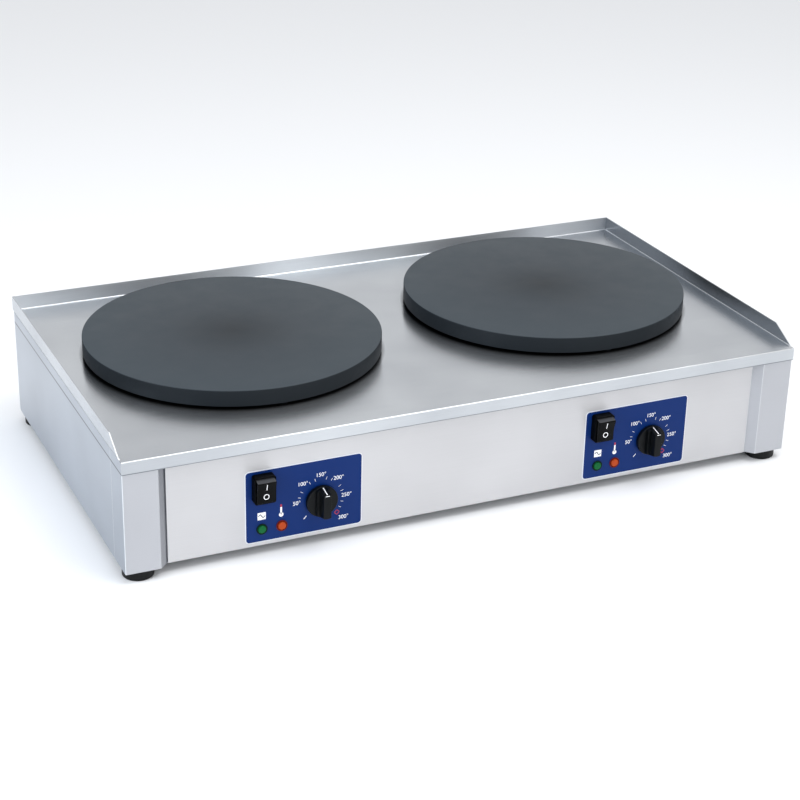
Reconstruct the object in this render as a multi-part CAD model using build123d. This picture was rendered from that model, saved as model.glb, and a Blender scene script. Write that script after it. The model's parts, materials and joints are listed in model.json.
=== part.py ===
"""Double electric crepe maker: two cast-iron hot plates on a folded stainless casing.

X runs from left to right, Y from front to back and Z up. The origin lies on the table, in the
middle of the whole machine. All sizes are millimetres.
"""

from build123d import *
import os
from math import asin, cos, degrees, radians, sin, sqrt, tan

os.makedirs("parts", exist_ok=True)

# ---- Sheet metal and general clearances -------------------------------------------------
sheet = 1.2  # stainless sheet of the casing and worktop
fold_radius = 1.5  # outside radius of the casing folds
gap = 0.3  # gap left between neighbouring pieces
running_fit = 0.05  # radial clearance of a turning shaft or pin
overcut = 1.0  # how far a cutter reaches past the solid it cuts

# ---- Casing -----------------------------------------------------------------------------
casing_width = 950.0
casing_depth = 516.0
casing_height = 151.3  # from its lower edge to the underside of the worktop
foot_height = 14.0
post_width = 45.0  # front face of a corner post
post_side = 46.0  # leg of a corner post along the side
panel_recess = 10.0  # front panel, behind the faces of the corner posts
post_flange = 14.0  # leg of a corner post behind the front panel
side_flange = 16.0  # folded edges of a side panel
lap = 14.0  # strip of a side panel behind its corner post
front_flange = 12.0  # folded top edge of the front panel
tray_flange = 16.0  # upturned edges of the base tray

# ---- Worktop ----------------------------------------------------------------------------
side_overhang = 1.0
rear_overhang = 1.0
upstand_height = 20.0  # above the cooking deck
deck_bend = 1.6  # inside radius between the deck and the upstands
apron_depth = 17.0  # folded front edge, below the deck's top face
slope_start = 46.0  # sloping ends of the side upstands, behind the front edge: upper end
slope_end = 8.0  # and lower end
brace_width = 40.0
brace_height = 28.0
brace_sheet = 1.5
brace_end_gap = 1.0

# ---- Hot plates -------------------------------------------------------------------------
plate_diameter = 400.0
plate_thickness = 22.0
plate_gap = 4.0  # between the deck and the underside of the plate's rim
plate_inset = 2.25  # of a plate's centre inwards from the middle of its half of the casing
plate_setback = 278.8  # from the front of the casing to the centres
plate_edge = 1.0  # chamfer round the plate
plate_web = 14.0  # thickness of the plate inside its rim
rim_width = 28.0  # full-thickness rim on the underside
rim_slope = 3.0  # draft of the rim's inner wall
boss_radius = 7.0  # cast bosses under the rim, on which the plate stands
boss_angles = (30.0, 150.0, 270.0)
opening_margin = 2.0  # from the rim's inner wall to the worktop opening below it
stud_radius = 5.0  # the one fixing stud, in the middle of the plate
stud_engagement = 9.0
nut_height = 6.5
nut_flats = 17.0
nut_clearance = 0.1  # radial, between a stud and the nut on it
stud_tail = 2.5  # stud end below its lower nut

# ---- Heating ----------------------------------------------------------------------------
element_radii = (62.0, 122.0)
element_width = 9.0  # pressed sheath: wide face on the plate, narrow face on the clamp
element_height = 7.0
element_narrow = 5.0
leg_width = 6.0  # square cold ends turned down
leg_spacing = 24.0  # between the two legs of one ring
leg_length = 36.0
tab_width = 6.3  # blade terminals, also on the thermostat, switch and lamps
tab_thickness = 0.8
tab_length = 9.0
leg_clearance = 3.0
clamp_width = 30.0
clamp_thickness = 3.0
clamp_overlap = 6.0  # past the outer ring
pan_depth = 15.0
pan_lip = 12.0  # flange under the worktop, round the opening

# ---- Control overlay and its layout, from the overlay's centre ----------------------------
overlay_width = 155.0
overlay_height = 98.0
overlay_thickness = 0.5
overlay_corner = 4.5
overlay_rise = 54.8  # from the casing's lower edge to the overlay's centre
overlay_offset = 3.75  # of an overlay's centre outwards from its plate's centre
knob_place = (22.3, -5.9)
switch_place = (-55.5, 26.8)
lamp_places = {"green": (-56.8, -31.8), "orange": (-30.3, -31.9)}

# ---- Knob and thermostat ----------------------------------------------------------------
knob_radius = 21.0
knob_gap = 0.8  # between the knob and the overlay
knob_depth = 22.5
skirt_depth = 6.0
step_depth = 11.0
step_width = 19.0
grip_width = 11.5
grip_draft = 2.0
grip_ends_draft = 12.0  # slope of the two ends of the grip and its step
knob_edge = 0.8
shaft_radius = 3.0
shaft_flat = 1.5  # from the axis to the flat of the D-shaped end
shaft_in_knob = 15.0
shaft_in_body = 18.0
neck_radius = 5.0
thermostat_width = 36.0
thermostat_height = 30.0
thermostat_depth = 21.0
thermostat_edge = 2.0
mount_plate = 1.5
mount_width = 44.0
mount_height = 22.0
tab_row = 14.0  # the two blades, either side of the shaft

# ---- Rocker switch ----------------------------------------------------------------------
collar_width = 28.0
collar_height = 37.0
collar_depth = 12.0
collar_corner = 3.0
collar_wall = 1.3
collar_edge = 0.6
switch_cutout_width = 22.0
switch_cutout_height = 30.0
switch_body_depth = 24.0
rocker_clearance = 0.4
rocker_pivot = 4.5  # pivot in front of the overlay
rocker_middle = 12.5  # middle of the rocker's face in front of the overlay
rocker_angle = 8.0  # tilt either way, and slope of each half of its face
rocker_back = 1.0  # back of the rocker behind its pivot
rocker_hub = 3.0
pivot_radius = 1.5
pivot_reach = 0.8

# ---- Pilot lamps ------------------------------------------------------------------------
lamp_hole = 5.1
lamp_flange = 7.4
lamp_flange_depth = 1.2
lamp_dome = 5.3
lamp_dome_depth = 3.2
lamp_slope = 1.4
lamp_body = 4.8
lamp_length = 24.0
lamp_tab_width = 2.8

# ---- Feet -------------------------------------------------------------------------------
foot_radius = 20.0
foot_inset = 22.0
foot_round = 2.5  # rounding of the lower edge
foot_recess = 9.0
foot_recess_depth = 5.0

# ---- Rear and base openings, cable entry ---------------------------------------------------
vent_count = 9
vent_pitch = 18.0
vent_width = 6.0
vent_height = 46.0
vent_rise = 84.0  # from the casing's lower edge to the middle of the slots
tray_vent_count = 7
tray_vent_pitch = 24.0
tray_vent_length = 90.0
gland_rise = 30.0  # from the casing's lower edge to the gland's axis
cable_radius = 5.5
gland_thread = 10.0
gland_hex_flats = 27.0
gland_hex_height = 5.0
gland_cap_radius = 12.0
gland_cap_length = 15.0
gland_cap_taper = 7.0
gland_mouth = 8.0
gland_stem_length = 12.0
gland_nut_height = 5.0

# ---- Levels and places that follow --------------------------------------------------------
deck_under = foot_height + casing_height
deck_top = deck_under + sheet
plate_under = deck_top + plate_gap
plate_top = plate_under + plate_thickness
web_under = plate_top - plate_web
clamp_top = web_under - element_height
clamp_under = clamp_top - clamp_thickness
pan_floor = deck_under - pan_depth
floor_top = foot_height + sheet

knob_front_reach = overlay_thickness + knob_gap + knob_depth - panel_recess
gland_reach = gland_hex_height + gland_cap_length
front = -(casing_depth + gland_reach - knob_front_reach) / 2
back = front + casing_depth
half_width = casing_width / 2
panel_face = front + panel_recess
overlay_face = panel_face - overlay_thickness
panel_rear = panel_face + sheet
plate_y = front + plate_setback
plate_radius = plate_diameter / 2
plate_spacing = casing_width / 2 - 2 * plate_inset
overlay_spacing = plate_spacing + 2 * overlay_offset
overlay_level = foot_height + overlay_rise
vent_level = foot_height + vent_rise
gland_level = foot_height + gland_rise
rim_inner = plate_radius - rim_width
deck_opening = rim_inner - opening_margin
pan_flange = deck_opening + pan_lip
return_end = half_width - post_width - panel_recess - sheet  # where the 45 degree return ends
sides = {"left": -1, "right": 1}

nodes = {}


# ---- Helpers -----------------------------------------------------------------------------
def slab(x, y, z):
    """A box between two limits along each axis."""
    size = [high - low for low, high in (x, y, z)]
    middle = [(low + high) / 2 for low, high in (x, y, z)]
    return Pos(*middle) * Box(*size)


def rod(radius, low, high, x=0.0, y=0.0):
    """An upright cylinder between two levels."""
    return Pos(x, y, (low + high) / 2) * Cylinder(radius, high - low)


def bore(radius, low, high, x, z):
    """A cylinder along Y between two depths."""
    return Pos(x, (low + high) / 2, z) * Rot(90, 0, 0) * Cylinder(radius, high - low)


def turned(*points):
    """A solid turned about Z from (radius, level) points."""
    return revolve(Plane.XZ * make_face(Polyline(*points, close=True)), Axis.Z)


def hexagon(flats, low, high):
    """An upright hexagonal prism."""
    return Pos(0, 0, low) * extrude(RegularPolygon(flats / 2, 6, major_radius=False), high - low)


def blade(place, rear, width=tab_width):
    """A flat blade terminal that points backwards from a depth, rooted in what carries it."""
    x, z = place
    tab_x = (x - tab_thickness / 2, x + tab_thickness / 2)
    return slab(tab_x, (rear - tab_thickness, rear + tab_length), (z - width / 2, z + width / 2))


def folded(points, low, high):
    """Sheet folded about upright lines: the points run along its outside, inside to the left."""
    outside = FilletPolyline(*points, radius=fold_radius)
    profile = Face(outside.offset_2d(sheet, side=Side.LEFT, closed=True))
    return Pos(0, 0, low) * extrude(profile, high - low)


def group(pieces):
    """Separate solids that share one node."""
    return Compound([solid for piece in pieces for solid in piece.solids()])


def edges_near(part, axis, **place):
    """Edges along an axis whose centres lie at the given coordinates."""
    return part.edges().filter_by(axis).filter_by(
        lambda edge: all(abs(getattr(edge.center(), name) - at) < 0.01 for name, at in place.items())
    )


def seen_from_front(shape, depth):
    """A flat shape drawn as seen from the front, X right and Z up, put at a depth."""
    return Pos(0, depth, 0) * Rot(90, 0, 0) * shape


def mirrored(part):
    return mirror(part, Plane.YZ)


def polar(radius, angle):
    return radius * cos(radians(angle)), radius * sin(radians(angle))


def make_nut(flats, low, high, radius):
    """A hexagon nut without its thread."""
    return hexagon(flats, low, high) - rod(radius + nut_clearance, low - overcut, high + overcut)


# ---- Worktop -------------------------------------------------------------------------------
def make_worktop():
    edge_x = half_width + side_overhang
    front_edge = front - gap - sheet
    rear_edge = back + rear_overhang
    top = deck_top + upstand_height
    part = slab((-edge_x, edge_x), (front_edge, rear_edge), (deck_under, top))
    outer_bends = edges_near(part, Axis.Y, Z=deck_under) + edges_near(part, Axis.X, Y=rear_edge, Z=deck_under)
    part = fillet(outer_bends, deck_bend + sheet)
    inner_x = edge_x - sheet
    inner_y = rear_edge - sheet
    inner = slab((-inner_x, inner_x), (front_edge - overcut, inner_y), (deck_top, top + overcut))
    inner_bends = edges_near(inner, Axis.Y, Z=deck_top) + edges_near(inner, Axis.X, Y=inner_y, Z=deck_top)
    part -= fillet(inner_bends, deck_bend)
    slope = Plane.YZ * make_face(
        Polyline(
            (front_edge - overcut, deck_top),
            (front_edge + slope_end, deck_top),
            (front_edge + slope_start, top),
            (front_edge + slope_start, top + overcut),
            (front_edge - overcut, top + overcut),
            close=True,
        )
    )
    part -= extrude(slope, edge_x + overcut, both=True)
    apron_x = edge_x - side_overhang / 2
    apron_levels = (deck_top - apron_depth, deck_under + sheet / 2)
    part += slab((-apron_x, apron_x), (front_edge, front_edge + sheet), apron_levels)
    part = fillet(edges_near(part, Axis.X, Y=front_edge, Z=deck_top), fold_radius)
    for side in sides.values():
        plate_x = side * plate_spacing / 2
        part -= rod(deck_opening, deck_under - overcut, deck_top + overcut, plate_x, plate_y)
    return part


def make_worktop_brace():
    x = brace_width / 2
    y = (panel_face + front_flange + brace_end_gap, back - sheet - brace_end_gap)
    bottom = deck_under - brace_height
    outer = slab((-x, x), y, (bottom, deck_under))
    outer = fillet(edges_near(outer, Axis.Y, Z=deck_under), fold_radius + brace_sheet)
    inner_x, inner_top = x - brace_sheet, deck_under - brace_sheet
    inner_y = (y[0] - overcut, y[1] + overcut)
    inner = slab((-inner_x, inner_x), inner_y, (bottom - overcut, inner_top))
    return outer - fillet(edges_near(inner, Axis.Y, Z=inner_top), fold_radius)


# ---- Casing --------------------------------------------------------------------------------
def make_corner_post():
    outline = (
        (half_width, front + post_side),
        (half_width, front),
        (half_width - post_width, front),
        (return_end, panel_rear),
        (return_end - post_flange, panel_rear),
    )
    return folded(tuple(reversed(outline)), foot_height, deck_under)


def make_side_panel():
    wall_start = front + post_side + gap
    rear = back - sheet
    levels = (foot_height, deck_under)
    flange_x = (half_width - side_flange, half_width)
    part = slab((half_width - sheet, half_width), (wall_start, rear), levels)
    part += slab(flange_x, (rear - sheet, rear), levels)
    part += slab(flange_x, (wall_start, rear), (deck_under - sheet, deck_under))
    part = fillet(edges_near(part, Axis.Z, X=half_width, Y=rear), fold_radius)
    part = fillet(edges_near(part, Axis.Y, X=half_width, Z=deck_under), fold_radius)
    strip_x = (half_width - 2 * sheet, half_width - sheet)
    strip_y = (wall_start - lap, wall_start + sheet / 2)
    return part + slab(strip_x, strip_y, (floor_top + gap, deck_under - sheet))


def make_front_panel():
    edge = return_end - fold_radius / 2
    part = slab((-edge, edge), (panel_face, panel_rear), (foot_height, deck_under))
    flange_x = return_end - post_flange - gap
    flange_y = (panel_face, panel_face + front_flange)
    part += slab((-flange_x, flange_x), flange_y, (deck_under - sheet, deck_under))
    for side in sides.values():
        part -= control_holes(side)
    return part


def control_holes(side):
    """Everything that passes through the front panel on one side."""
    centre_x = side * overlay_spacing / 2
    depth = (panel_face - sheet, panel_rear + sheet)
    knob_x, knob_z = centre_x + knob_place[0], overlay_level + knob_place[1]
    holes = [bore(neck_radius + gap, *depth, knob_x, knob_z)]
    switch_x, switch_z = centre_x + switch_place[0], overlay_level + switch_place[1]
    cutout = Box(switch_cutout_width, 4 * sheet, switch_cutout_height)
    holes.append(Pos(switch_x, panel_face, switch_z) * cutout)
    for x, z in lamp_places.values():
        holes.append(bore(lamp_hole, *depth, centre_x + x, overlay_level + z))
    return holes


def make_back_panel():
    edge = half_width - gap
    part = slab((-edge, edge), (back - sheet, back), (foot_height, deck_under - gap))
    part = fillet(part.edges().filter_by(Axis.Y), fold_radius)
    slot = Box(vent_width, 4 * sheet, vent_height)
    for x in vent_offsets(vent_count, vent_pitch):
        part -= Pos(x, back, vent_level) * slot
    return part - bore(gland_thread + gap, back - 2 * sheet, back + sheet, 0, gland_level)


def vent_offsets(count, pitch):
    """Where the vent slots stand along X, centred on each plate."""
    for side in sides.values():
        for index in range(count):
            yield side * plate_spacing / 2 + (index - (count - 1) / 2) * pitch


def tray_outline(inset):
    """The base tray's plan: its front corners reach forward under the corner posts."""
    front_edge = panel_rear + sheet + gap + inset
    ear_front = front + sheet + gap + inset
    outer_x = half_width - sheet - gap - inset
    diagonal = front_edge - ear_front
    ear_x = half_width - post_width + gap + inset
    rear_edge = back - 2 * sheet - gap - inset
    corner = ear_x - diagonal
    right = (
        (corner, front_edge),
        (ear_x, ear_front),
        (outer_x, ear_front),
        (outer_x, rear_edge),
    )
    left = tuple((-x, y) for x, y in reversed(right))
    return right + left


def make_base_tray():
    outline = tray_outline(0)
    floor = extrude(make_face(Polyline(*outline, close=True)), sheet)
    part = Pos(0, 0, foot_height) * floor
    outer_x, rear_edge = outline[3]
    corner, front_edge = outline[0]
    levels = (foot_height, foot_height + tray_flange)
    side_y = (front + post_side + 2 * sheet, rear_edge)
    for side in sides.values():
        wall_x = sorted((side * outer_x, side * (outer_x - sheet)))
        part += slab(wall_x, side_y, levels)
    flange_x = corner - fold_radius
    part += slab((-flange_x, flange_x), (front_edge, front_edge + sheet), levels)
    part += slab((-outer_x, outer_x), (rear_edge - sheet, rear_edge), levels)
    slot = Box(vent_width, tray_vent_length, 4 * sheet)
    for x in vent_offsets(tray_vent_count, tray_vent_pitch):
        part -= Pos(x, plate_y, foot_height) * slot
    return part


# ---- Feet ----------------------------------------------------------------------------------
def foot_places():
    x = half_width - foot_inset
    return [(side * x, y) for y in (front + foot_inset, back - foot_inset) for side in sides.values()]


def make_foot():
    """Rubber foot with a rounded lower edge and a recess for its screw."""
    return turned(
        (0, foot_height),
        (foot_radius, foot_height),
        (foot_radius, foot_round),
        (foot_radius - 0.3 * foot_round, 0.3 * foot_round),
        (foot_radius - foot_round, 0),
        (foot_recess, 0),
        (foot_recess, foot_recess_depth),
        (0, foot_recess_depth),
    )


# ---- Hot plate and heating, about the plate's own axis ----------------------------------------
def leg_distance(radius):
    """How far behind the plate's centre the two legs of a heating ring stand."""
    return sqrt(radius**2 - (leg_spacing / 2) ** 2)


def make_hot_plate():
    """Cast plate: full thickness at its rim, thinner inside it, standing on three bosses."""
    part = turned(
        (0, plate_top),
        (plate_radius - plate_edge, plate_top),
        (plate_radius, plate_top - plate_edge),
        (plate_radius, plate_under + plate_edge),
        (plate_radius - plate_edge, plate_under),
        (rim_inner, plate_under),
        (rim_inner - rim_slope, web_under),
        (0, web_under),
    )
    for angle in boss_angles:
        place = polar((plate_radius + rim_inner) / 2, angle)
        part += rod(boss_radius, deck_top, plate_under + plate_edge, *place)
    return part - rod(stud_radius + running_fit, web_under - overcut, web_under + stud_engagement)


def make_heating_ring(radius):
    """A sheathed element pressed flat against the plate, an open ring with both ends turned down."""
    half_gap = degrees(asin(leg_spacing / 2 / radius))
    element_under = web_under - element_height
    section = Polyline(
        (radius - element_width / 2, web_under),
        (radius + element_width / 2, web_under),
        (radius + element_narrow / 2, element_under),
        (radius - element_narrow / 2, element_under),
        close=True,
    )
    arc = revolve(Plane.XZ * make_face(section), Axis.Z, revolution_arc=360 - 2 * half_gap)
    ring = Rot(0, 0, 90 + half_gap) * arc
    y, half = leg_distance(radius), leg_width / 2
    leg_levels = (web_under - leg_length, web_under)
    tab_levels = (web_under - leg_length - tab_length, web_under - leg_length)
    for x in (-leg_spacing / 2, leg_spacing / 2):
        ring += slab((x - half, x + half), (y - half, y + half), leg_levels)
        tab_x = (x - tab_thickness / 2, x + tab_thickness / 2)
        ring += slab(tab_x, (y - tab_width / 2, y + tab_width / 2), tab_levels)
    return ring


def make_element_clamp():
    """Bar across the plate that presses the rings upward, drilled for the stud."""
    half_length = element_radii[-1] + element_width / 2 + clamp_overlap
    half_width_y = clamp_width / 2
    bar = slab((-half_length, half_length), (-half_width_y, half_width_y), (clamp_under, clamp_top))
    return bar - rod(stud_radius + gap, clamp_under - overcut, clamp_top + overcut)


def make_element_pan():
    """Drawn pan under the worktop opening, with a window for the elements' legs."""
    wall_inner = deck_opening - sheet
    part = turned(
        (0, pan_floor),
        (deck_opening, pan_floor),
        (deck_opening, deck_under - sheet),
        (pan_flange, deck_under - sheet),
        (pan_flange, deck_under),
        (wall_inner, deck_under),
        (wall_inner, pan_floor + sheet),
        (0, pan_floor + sheet),
    )
    half_x = leg_spacing / 2 + leg_width / 2 + leg_clearance
    reach_y = leg_width / 2 + leg_clearance
    window_y = (leg_distance(element_radii[0]) - reach_y, leg_distance(element_radii[-1]) + reach_y)
    cut_levels = (pan_floor - overcut, pan_floor + sheet + overcut)
    part -= slab((-half_x, half_x), window_y, cut_levels)
    return part - rod(stud_radius + gap, *cut_levels)


def make_plate_fixing():
    """The stud in the plate, a nut under the clamp bar and a nut under the pan."""
    lower = pan_floor - nut_height - stud_tail
    yield rod(stud_radius, lower, web_under + stud_engagement)
    for top in (clamp_under, pan_floor):
        yield make_nut(nut_flats, top - nut_height, top, stud_radius)


# ---- Controls, about the point of the overlay's face where each one stands ----------------------
def make_overlay():
    """Printed sheet in front of the panel, about its own centre, with its rear face at Y = 0."""
    face = RectangleRounded(overlay_width, overlay_height, overlay_corner)
    face -= Pos(*knob_place) * Circle(neck_radius + 2 * gap)
    face -= Pos(*switch_place) * Rectangle(switch_cutout_width, switch_cutout_height)
    for place in lamp_places.values():
        face -= Pos(*place) * Circle(lamp_hole)
    return seen_from_front(extrude(face, overlay_thickness), 0)


def make_knob():
    """Round skirt with a stepped bar grip across it; the overlay's face is at Y = 0."""
    skirt = extrude(Circle(knob_radius), skirt_depth)
    skirt = chamfer(skirt.edges().group_by(Axis.Z)[-1], knob_edge)
    cone = extrude(Circle(knob_radius - knob_edge), knob_depth - skirt_depth, taper=grip_ends_draft)
    round_limit = Pos(0, 0, skirt_depth) * cone + extrude(Circle(knob_radius - knob_edge), skirt_depth)
    step = extrude(Rectangle(step_width, 2 * knob_radius), step_depth, taper=grip_draft)
    grip = extrude(Rectangle(grip_width, 2 * knob_radius), knob_depth, taper=grip_draft)
    grip = chamfer(grip.edges().group_by(Axis.Z)[-1].filter_by(Axis.Y), knob_edge)
    part = skirt + ((step + grip) & round_limit)
    socket = extrude(Circle(shaft_radius + running_fit), shaft_in_knob + running_fit)
    flat_y = shaft_flat + running_fit
    land = slab((-knob_radius, knob_radius), (flat_y, knob_radius), (-overcut, knob_depth))
    part -= socket - land
    return seen_from_front(part, -knob_gap)


def make_shaft():
    """Thermostat shaft with a D-shaped end in the knob."""
    tip = -knob_gap - shaft_in_knob
    part = bore(shaft_radius, tip, overlay_thickness + sheet + mount_plate + shaft_in_body, 0, 0)
    flat_x, flat_z = (-shaft_radius, shaft_radius), (shaft_flat, shaft_radius + overcut)
    return part - slab(flat_x, (tip - overcut, -knob_gap + running_fit), flat_z)


def make_thermostat():
    """Thermostat behind the panel: mounting plate, neck through the panel, blind bore for the shaft."""
    plate_front = overlay_thickness + sheet
    body_front = plate_front + mount_plate
    body_rear = body_front + thermostat_depth
    half_x, half_z = thermostat_width / 2, thermostat_height / 2
    body = slab((-half_x, half_x), (body_front, body_rear), (-half_z, half_z))
    part = fillet(body.edges().filter_by(Axis.Y), thermostat_edge)
    plate_x, plate_z = mount_width / 2, mount_height / 2
    part += slab((-plate_x, plate_x), (plate_front, body_front), (-plate_z, plate_z))
    part += bore(neck_radius, overlay_thickness, body_front + thermostat_edge, 0, 0)
    for x in (-tab_row, tab_row):
        part += blade((x, 0), body_rear)
    return part - bore(shaft_radius + running_fit, 0, body_front + shaft_in_body + running_fit, 0, 0)


def make_switch_body():
    """Raised collar on the overlay and the body behind the panel, with four blade terminals."""
    collar = extrude(RectangleRounded(collar_width, collar_height, collar_corner), collar_depth)
    collar = chamfer(collar.edges().group_by(Axis.Z)[-1], collar_edge)
    pocket_width, pocket_height = collar_width - 2 * collar_wall, collar_height - 2 * collar_wall
    collar -= Pos(0, 0, gap) * extrude(Rectangle(pocket_width, pocket_height), collar_depth)
    collar = seen_from_front(collar, 0)
    reach = pocket_width / 2 + pivot_reach + running_fit
    collar -= Pos(0, -rocker_pivot, 0) * Rot(0, 90, 0) * Cylinder(pivot_radius + running_fit, 2 * reach)
    half_x = switch_cutout_width / 2 - gap
    half_z = switch_cutout_height / 2 - gap
    part = collar + slab((-half_x, half_x), (0, switch_body_depth), (-half_z, half_z))
    for x in (-half_x / 2, half_x / 2):
        for z in (-half_z / 2, half_z / 2):
            part += blade((x, z), switch_body_depth)
    return part


def make_rocker():
    """Rocker with a dished face and rounded ends, at its off tilt: the upper half stands out."""
    half_x = collar_width / 2 - collar_wall - rocker_clearance
    end_radius = collar_height / 2 - collar_wall - rocker_clearance
    middle = rocker_middle - rocker_pivot
    slope = end_radius * tan(radians(rocker_angle))
    profile = Plane.YZ * make_face(
        Polyline(
            (rocker_back, -end_radius),
            (-middle - slope, -end_radius),
            (-middle, 0),
            (-middle - slope, end_radius),
            (rocker_back, end_radius),
            close=True,
        )
    )
    part = extrude(profile, half_x, both=True)
    part &= Rot(0, 90, 0) * Cylinder(end_radius, 4 * half_x)
    part += Rot(0, 90, 0) * Cylinder(rocker_hub, 2 * half_x)
    part += Rot(0, 90, 0) * Cylinder(pivot_radius, 2 * (collar_width / 2 - collar_wall + pivot_reach))
    return Pos(0, -rocker_pivot, 0) * Rot(rocker_angle, 0, 0) * part


def make_lamp_lens():
    """Flanged dome lens, its flange on the overlay."""
    part = turned(
        (0, 0),
        (lamp_flange, 0),
        (lamp_flange, lamp_flange_depth),
        (lamp_dome, lamp_flange_depth),
        (lamp_dome - lamp_slope, lamp_dome_depth),
        (0, lamp_dome_depth),
    )
    return Rot(90, 0, 0) * part


def make_lamp_body():
    """Lamp barrel through the panel, with two terminals."""
    part = bore(lamp_body, 0, lamp_length, 0, 0)
    for x in (-lamp_body / 2, lamp_body / 2):
        part += blade((x, 0), lamp_length, lamp_tab_width)
    return part


# ---- Cable entry -----------------------------------------------------------------------------
def along_back(part, x, level):
    """Turn an upright part so that its top points backwards, its zero level on the back panel."""
    return Pos(x, back, level) * Rot(-90, 0, 0) * part


def make_cable_gland():
    cap_top = gland_hex_height + gland_cap_length
    cap = turned(
        (0, gland_hex_height),
        (gland_cap_radius, gland_hex_height),
        (gland_cap_radius, cap_top - gland_cap_taper),
        (gland_mouth, cap_top),
        (0, cap_top),
    )
    part = hexagon(gland_hex_flats, 0, gland_hex_height)
    part += cap + rod(gland_thread, -gland_stem_length, 0)
    part -= rod(cable_radius, -gland_stem_length - overcut, cap_top + overcut)
    return along_back(part, 0, gland_level)


def make_gland_nut():
    nut = make_nut(gland_hex_flats, -sheet - gland_nut_height, -sheet, gland_thread)
    return along_back(nut, 0, gland_level)


# ---- The assembly -----------------------------------------------------------------------------------
nodes["worktop"] = make_worktop()
nodes["worktop_brace"] = make_worktop_brace()
nodes["corner_post_right"] = make_corner_post()
nodes["corner_post_left"] = mirrored(nodes["corner_post_right"])
nodes["side_panel_right"] = make_side_panel()
nodes["side_panel_left"] = mirrored(nodes["side_panel_right"])
nodes["front_panel"] = make_front_panel()
nodes["back_panel"] = make_back_panel()
nodes["base_tray"] = make_base_tray()
nodes["cable_gland"] = make_cable_gland()
nodes["cable_gland_nut"] = make_gland_nut()
foot_names = ("foot_front_left", "foot_front_right", "foot_back_left", "foot_back_right")
for name, (x, y) in zip(foot_names, foot_places()):
    nodes[name] = Pos(x, y) * make_foot()

for name, side in sides.items():
    at_plate = Pos(side * plate_spacing / 2, plate_y)
    nodes[f"hot_plate_{name}"] = at_plate * make_hot_plate()
    nodes[f"heating_elements_{name}"] = group(at_plate * make_heating_ring(r) for r in element_radii)
    nodes[f"element_clamp_{name}"] = at_plate * make_element_clamp()
    nodes[f"element_pan_{name}"] = at_plate * make_element_pan()
    nodes[f"plate_fixing_{name}"] = group(at_plate * piece for piece in make_plate_fixing())

    overlay_x = side * overlay_spacing / 2
    at_knob = Pos(overlay_x + knob_place[0], overlay_face, overlay_level + knob_place[1])
    at_switch = Pos(overlay_x + switch_place[0], overlay_face, overlay_level + switch_place[1])
    nodes[f"control_overlay_{name}"] = Pos(overlay_x, panel_face, overlay_level) * make_overlay()
    nodes[f"knob_{name}"] = at_knob * make_knob()
    nodes[f"thermostat_shaft_{name}"] = at_knob * make_shaft()
    nodes[f"thermostat_body_{name}"] = at_knob * make_thermostat()
    nodes[f"switch_body_{name}"] = at_switch * make_switch_body()
    nodes[f"switch_rocker_{name}"] = at_switch * make_rocker()
    for colour, (x, z) in lamp_places.items():
        at_lamp = Pos(overlay_x + x, overlay_face, overlay_level + z)
        nodes[f"{colour}_lamp_lens_{name}"] = at_lamp * make_lamp_lens()
        nodes[f"{colour}_lamp_body_{name}"] = at_lamp * make_lamp_body()

for name, part in nodes.items():
    export_step(part, f"parts/{name}.step")
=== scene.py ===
# Double electric crepe maker: folded stainless casing, two cast-iron plates, and for each plate
# a rocker switch, two pilot lamps and a thermostat knob on a printed overlay. Metres throughout.
import json
from math import atan, cos, pi, radians, sin, tan

import bmesh
import bpy
from mathutils import Matrix, Vector


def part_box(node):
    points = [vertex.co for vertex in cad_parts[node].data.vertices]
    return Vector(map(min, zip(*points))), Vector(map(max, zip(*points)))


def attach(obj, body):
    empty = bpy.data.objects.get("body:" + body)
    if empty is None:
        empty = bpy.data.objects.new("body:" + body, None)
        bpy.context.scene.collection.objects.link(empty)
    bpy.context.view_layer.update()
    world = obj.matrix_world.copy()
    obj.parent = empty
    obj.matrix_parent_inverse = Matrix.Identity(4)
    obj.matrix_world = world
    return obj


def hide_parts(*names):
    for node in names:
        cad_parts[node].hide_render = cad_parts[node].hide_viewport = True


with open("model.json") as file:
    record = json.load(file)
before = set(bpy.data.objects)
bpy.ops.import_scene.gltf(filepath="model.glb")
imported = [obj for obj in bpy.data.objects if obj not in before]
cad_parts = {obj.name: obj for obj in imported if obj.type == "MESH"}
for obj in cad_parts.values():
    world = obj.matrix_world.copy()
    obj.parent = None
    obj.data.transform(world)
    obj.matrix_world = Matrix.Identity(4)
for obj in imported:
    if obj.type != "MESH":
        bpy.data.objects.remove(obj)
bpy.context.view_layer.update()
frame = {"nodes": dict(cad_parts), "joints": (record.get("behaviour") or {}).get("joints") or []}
nodes = frame["nodes"]
sides = ("left", "right")
mm = 0.001

# ---- Camera -----------------------------------------------------------------------------------
camera_azimuth = -24.788  # degrees round from straight ahead, towards the machine's left
camera_elevation = 24.527
camera_roll = -1.359
picture_width = 800
focal_pixels = 1927.6
aim = Vector((0.0, -21.1 * mm, 92.0 * mm))  # a point near the middle of the machine
aim_offset = Vector((4.21, 23.72)) * mm  # of that point from the lens axis, right and up
aim_distance = 2680.8 * mm


def add_camera():
    lens = bpy.data.cameras.new("camera")
    lens.sensor_width = 36.0
    lens.lens = focal_pixels / picture_width * lens.sensor_width
    lens.clip_end = 50.0
    camera = bpy.data.objects.new("camera", lens)
    bpy.context.scene.collection.objects.link(camera)
    turn = Matrix.Rotation(radians(camera_azimuth), 4, "Z")
    tilt = Matrix.Rotation(radians(90 - camera_elevation), 4, "X")
    roll = Matrix.Rotation(radians(-camera_roll), 4, "Z")
    facing = turn @ tilt @ roll
    back = Vector((-aim_offset.x, -aim_offset.y, aim_distance))
    camera.matrix_world = Matrix.Translation(aim + facing.to_3x3() @ back) @ facing
    bpy.context.scene.camera = camera


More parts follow.
